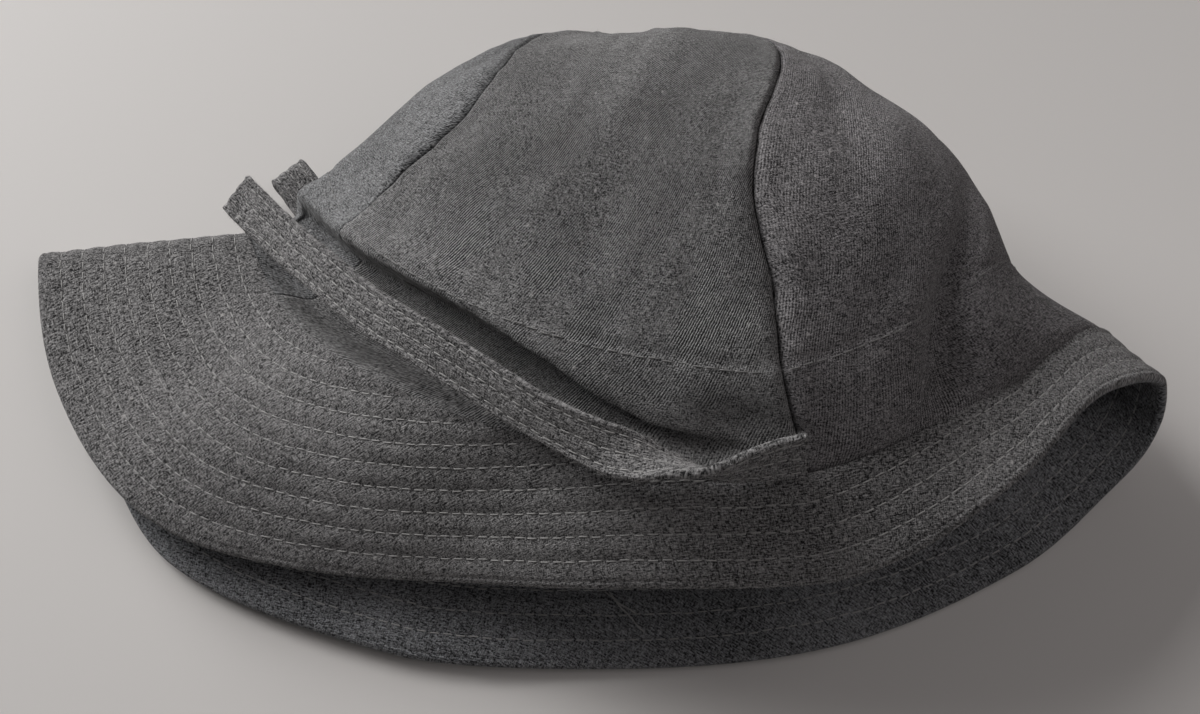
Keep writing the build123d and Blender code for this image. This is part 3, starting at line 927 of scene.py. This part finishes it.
def sew(name, rows, settings, material):
    """Sews rows of running stitch: each row is a line of points and the way out of the cloth."""
    joined = bmesh.new()
    for points, up in rows:
        reach = measured(points)
        count = int(reach[-1] / settings.pitch)
        if count < 2:
            continue
        run = np.linspace(0.0, count * settings.pitch, count * STITCH_STEPS + 1)
        line, out = placed(run, reach, points), placed(run, reach, up)
        side = unit(np.cross(out, np.gradient(line, axis=0)))
        phase = np.mod(run / settings.pitch, 1.0)
        dip = bump(phase, HOLE_PLACE, HOLE_WIDTH) + bump(phase, HOLE_PLACE - 1, HOLE_WIDTH)
        drift = smooth_noise(np.floor(run / settings.pitch) * 1.7, run * 0, 41) * (1 - dip)
        line = line + out * (THREAD_RISE - THREAD_DIP * dip)[:, None]
        line = line + side * (THREAD_DRIFT * drift)[:, None]

        def place(a, b):
            k = np.rint(a * (len(run) - 1)).astype(int)
            round_way = 2 * math.pi * b
            thick = settings.width / 2
            flat = side[k] * (thick * np.cos(round_way))[:, None]
            return line[k] + flat + out[k] * (thick * 0.8 * np.sin(round_way))[:, None]

        def cut(a, b):
            return np.stack([a * reach[-1], b], axis=-1)

        thread = cloth_grid(name, len(run) - 1, 5, place, cut, False)
        mesh = thread.data
        bpy.data.objects.remove(thread)
        joined.from_mesh(mesh)
        bpy.data.meshes.remove(mesh)
    bmesh.ops.remove_doubles(joined, verts=joined.verts, dist=0.000002)
    bmesh.ops.recalc_face_normals(joined, faces=joined.faces)
    row = finish_mesh(name, joined)
    row.data.materials.append(material)
    return row


def brim_rows(face):
    """The rows of the brim, parallel to its edge, that run out into the seam where the brim narrows."""
    dense = BACK_SEAM + np.linspace(0.0, GIRTH, 1500)
    rows = []
    for k in range(ROW_COUNT):
        reach = brim_width(dense) - EDGE_MARGIN - k * ROW_PITCH
        inside = np.concatenate([[0], (reach > 1.4).astype(int), [0]])
        ends = np.flatnonzero(np.diff(inside))
        for low, high in zip(ends[::2], ends[1::2]):
            arcs, way = dense[low:high], reach[low:high]
            if len(arcs) > 12:
                rows.append((brim_shape(arcs, way, face), face * brim_normal(arcs, way)))
    return rows


# Where the thread runs on from one row of the under cloth to the next: place and reach, start and end
ROW_JUMPS = [
    (446.5, 3.0, 455.0, 8.6),
    (447.5, 3.0, 456.0, 12.4),
]


def row_jumps(face):
    """Slanting runs of thread between the rows of the under cloth."""
    rows = []
    for start, near, end, far in ROW_JUMPS if face < 0 else []:
        arcs, way = np.linspace(start, end, 30), np.linspace(near, far, 30)
        normal = face * brim_normal(arcs, way)
        rows.append((brim_shape(arcs, way, face) + 0.25 * normal, normal))
    return rows


# Rows of the band: heights over the brim seam, and depths in the cloth
BAND_ROWS = (BAND_HEIGHT - 1.5, 3.0)
OUTER_DEPTH = 0.03
INNER_DEPTH = 2.3


def band_row(high, depth, inside=False):
    """A row round the crown at a height over the brim seam and a depth in the cloth."""
    arcs = BACK_SEAM + np.linspace(0.0, GIRTH, 1300)
    share = np.full_like(arcs, high / CROWN_DEPTH)
    points = crown_shape(arcs, share, depth)
    out = crown_normal(leaned(arcs, share), share)
    return points, -out if inside else out


class HAT_OT_stitches(bpy.types.Operator):
    """Sew the rows of the brim, the band row of the crown and the rows of the ties"""

    bl_idname = "hat.stitches"
    bl_label = "Stitches"

    def execute(self, context):
        settings = context.scene.hat_stitch
        thread = thread_material("Thread", settings.colour)
        faded = thread_material("Faded Thread", [c * 0.55 for c in settings.colour])
        for name, face in (("brim_upper_stitches", 1), ("brim_under_stitches", -1)):
            dress(sew(name, brim_rows(face) + row_jumps(face), settings, thread), "hat", "brim_cloth")
        outer = [band_row(BAND_ROWS[0], OUTER_DEPTH)]
        dress(sew("band_stitches", outer, settings, faded), "hat", "crown_cloth")
        inner = [band_row(high, INNER_DEPTH, True) for high in BAND_ROWS]
        dress(sew("band_inner_stitches", inner, settings, thread), "hat", "band_cloth")
        for name, stations in TIES.items():
            frames = strap_frames(stations)
            along = np.linspace(1.5, frames[0][-1] - 2.0, 500)
            rows = []
            for across in STRAP_ROWS:
                side = np.full_like(along, across / (TIE_WIDTH / 2))
                for face in (1, -1):
                    rows.append((strap_shape(frames, along, side, face), face * follow(frames, along, 3)))
            row = sew(name + "_stitches", rows, settings, thread)
            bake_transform(row)
        return {"FINISHED"}


FIBRE_HALF_WIDTH = 0.022
FIBRE_CURL = 0.55


def fibres(name, roots, ways, lengths, material):
    """Loose fibres: fine tapering ribbons that stand out of the cloth and curl."""
    columns = 4 * len(roots) - 1
    rng = np.random.default_rng(7)
    bend = rng.normal(size=(len(roots), 3))
    side = unit(np.cross(ways, bend))
    bm = bmesh.new()
    bmesh.ops.create_grid(bm, x_segments=columns, y_segments=1, size=0.5)

    # three cells make a fibre, and every fourth is taken out
    bm.faces.ensure_lookup_table()
    cells = [int((face.calc_center_median().x + 0.5) * columns) for face in bm.faces]
    gaps = [bm.faces[i] for i, cell in enumerate(cells) if cell % 4 == 3]
    bmesh.ops.delete(bm, geom=gaps, context="FACES_ONLY")
    mesh = bpy.data.meshes.new(name)
    bm.to_mesh(mesh)
    bm.free()
    flat = np.empty(len(mesh.vertices) * 3, dtype=np.float32)
    mesh.vertices.foreach_get("co", flat)
    column = np.rint((flat[0::3] + 0.5) * columns).astype(int)
    which, knot = column // 4, column % 4
    share = knot / 3.0
    reach = share * lengths[which]
    curl = FIBRE_CURL * lengths[which] * share ** 2
    half = np.where(flat[1::3] > 0, 1, -1) * FIBRE_HALF_WIDTH * (1.05 - share)
    points = roots[which] + ways[which] * reach[:, None] + bend[which] * (curl * 0.5)[:, None]
    points = on_table(points + side[which] * half[:, None] + PLACING) * MM
    mesh.vertices.foreach_set("co", points.astype(np.float32).ravel())
    mesh.update()
    obj = add_object(name, mesh)
    obj.data.materials.append(material)
    return obj


# Number of loose fibres on each kind of piece
TIE_FIBRES = {"near_tie": 4200, "far_tie": 700}
CROWN_FIBRES = 7000
BRIM_FIBRES = 6000


class HAT_OT_fuzz(bpy.types.Operator):
    """Raise the loose fibres of the brushed cloth"""

    bl_idname = "hat.fuzz"
    bl_label = "Loose Fibres"

    def execute(self, context):
        cloth = context.scene.hat_cloth
        hair = thread_material("Loose Fibre", [c * 0.9 for c in cloth.fleck])
        rng = np.random.default_rng(5)

        def jitter(ways, amount):
            return unit(ways + rng.normal(scale=amount, size=ways.shape))

        for name, stations in TIES.items():
            count = TIE_FIBRES[name]
            frames = strap_frames(stations)
            along = rng.uniform(0.5, frames[0][-1] - 0.3, count)
            edge = np.where(rng.random(count) < 0.5, 1.0, -1.0)
            face = np.where(rng.random(count) < 0.5, 1.0, -1.0)
            side = edge * (1 - 0.22 * rng.random(count) ** 2)
            roots = strap_shape(frames, along, side, face)
            across, out = follow(frames, along, 2), follow(frames, along, 3)
            ways = jitter(across * edge[:, None] + 0.8 * face[:, None] * out, 0.5)
            fuzz = fibres(name + "_fibres", roots, ways, 0.35 + 0.75 * rng.random(count) ** 2, hair)
            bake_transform(fuzz)
        arc = rng.uniform(0, GIRTH, CROWN_FIBRES)
        share = rng.uniform(0.01, 0.97, CROWN_FIBRES) ** 1.2
        roots = crown_shape(arc, share, 0.05)
        ways = jitter(crown_normal(leaned(arc, share), share), 0.9)
        fuzz = fibres("crown_fibres", roots, ways, 0.3 + 0.7 * rng.random(CROWN_FIBRES) ** 2, hair)
        dress(fuzz, "hat", "crown_cloth")
        arc, inset = rng.uniform(0, GIRTH, BRIM_FIBRES), 0.1 + 20 * rng.random(BRIM_FIBRES) ** 3
        reach = np.maximum(brim_width(arc) - inset, 2.0)
        ways = jitter(brim_normal(arc, reach), 0.9)
        roots = brim_shape(arc, reach, 1.0)
        fuzz = fibres("brim_fibres", roots, ways, 0.3 + 0.6 * rng.random(BRIM_FIBRES) ** 2, hair)
        dress(fuzz, "hat", "brim_cloth")
        return {"FINISHED"}


# Lamps: place, target, width, colour and spread in degrees
WINDOW = ((-0.84, 0.76, 0.58), (0.06, -0.16, 0.0), 0.90, (1.0, 0.99, 0.98), 70.0)
ROOM = ((0.62, -0.02, 0.72), (0.1, 0.0, 0.0), 0.80, (1.0, 0.94, 0.93), 180.0)
WORLD_COLOUR = (1.0, 0.97, 0.97, 1.0)
WORLD_STRENGTH = 0.08

# Camera: target in millimetres, degrees above the table, distance in metres, lens
VIEW_TARGET = (5.370, -8.684, 23.09)
VIEW_ELEVATION = 66.0
VIEW_DISTANCE = 0.322
VIEW_LENS = 39.0

# The table top lies a little under the cloth
TABLE_HALF = 3.0
TABLE_DROP = 0.0004


def area_light(name, power, place, target, size, colour, spread):
    data = bpy.data.lights.new(name, "AREA")
    data.spread = math.radians(spread)
    data.shape = "RECTANGLE"
    data.size = data.size_y = size
    data.energy = power
    data.color = colour
    lamp = bpy.data.objects.new(name, data)
    bpy.context.collection.objects.link(lamp)
    lamp.location = place
    lamp.rotation_mode = "QUATERNION"
    lamp.rotation_quaternion = (Vector(target) - Vector(place)).to_track_quat("-Z", "Y")
    return lamp


class HAT_OT_stage(bpy.types.Operator):
    """Lay the floor, set the lights and place the camera"""

    bl_idname = "hat.stage"
    bl_label = "Stage"

    def execute(self, context):
        stage = context.scene.hat_stage
        bm = bmesh.new()
        bmesh.ops.create_grid(bm, x_segments=1, y_segments=1, size=TABLE_HALF)
        bmesh.ops.translate(bm, verts=bm.verts, vec=(0.0, 0.0, -TABLE_DROP))
        floor = finish_mesh("table_top", bm)
        paint = bpy.data.materials.new("Table Paint")
        paint.use_nodes = True
        shader = paint.node_tree.nodes["Principled BSDF"]
        shader.inputs["Base Color"].default_value = (*stage.floor, 1.0)
        shader.inputs["Roughness"].default_value = 0.6
        floor.data.materials.append(paint)
        lamps = [
            area_light("Window", stage.key_power, *WINDOW),
            area_light("Room", stage.fill_power, *ROOM),
        ]
        world = bpy.data.worlds.new("Soft Room")
        context.scene.world = world
        world.use_nodes = True
        background = world.node_tree.nodes["Background"]
        background.inputs["Color"].default_value = WORLD_COLOUR
        background.inputs["Strength"].default_value = WORLD_STRENGTH
        data = bpy.data.cameras.new("View")
        data.sensor_width = 36.0
        data.lens = VIEW_LENS
        data.clip_start = 0.01
        camera = bpy.data.objects.new("View", data)
        context.collection.objects.link(camera)
        elevation = math.radians(VIEW_ELEVATION)
        back = Vector((0.0, -math.cos(elevation), math.sin(elevation)))
        camera.location = Vector(VIEW_TARGET) * MM + back * VIEW_DISTANCE
        camera.rotation_mode = "QUATERNION"
        camera.rotation_quaternion = (-back).to_track_quat("-Z", "Y")
        context.scene.camera = camera
        context.scene.view_settings.view_transform = "Standard"
        return {"FINISHED"}


class HAT_PT_panel(bpy.types.Panel):
    """Lists the pieces of the hat and what can be changed"""

    bl_idname = "HAT_PT_panel"
    bl_label = "Collapsed Hat"
    bl_space_type = "VIEW_3D"
    bl_region_type = "UI"
    bl_category = "Hat"

    def draw(self, context):
        column = self.layout.column()
        for settings in (context.scene.hat_cloth, context.scene.hat_stitch, context.scene.hat_stage):
            for key in settings.__annotations__:
                column.prop(settings, key)
        for operator in OPERATORS:
            column.operator(operator.bl_idname)


OPERATORS = (
    HAT_OT_crown, HAT_OT_sweatband, HAT_OT_brim, HAT_OT_ties, HAT_OT_stitches, HAT_OT_fuzz,
    HAT_OT_stage,
)
CLASSES = (ClothSettings, StitchSettings, StageSettings, *OPERATORS, HAT_PT_panel)


def register():
    for each in CLASSES:
        bpy.utils.register_class(each)
    bpy.types.Scene.hat_cloth = bpy.props.PointerProperty(type=ClothSettings)
    bpy.types.Scene.hat_stitch = bpy.props.PointerProperty(type=StitchSettings)
    bpy.types.Scene.hat_stage = bpy.props.PointerProperty(type=StageSettings)


def unregister():
    for key in ("hat_cloth", "hat_stitch", "hat_stage"):
        delattr(bpy.types.Scene, key)
    for each in reversed(CLASSES):
        bpy.utils.unregister_class(each)


def main():
    register()
    bpy.ops.hat.crown()
    bpy.ops.hat.sweatband()
    bpy.ops.hat.brim()
    bpy.ops.hat.ties()
    bpy.ops.hat.stitches()
    bpy.ops.hat.fuzz()
    bpy.ops.hat.stage()


if __name__ == "__main__":
    main()
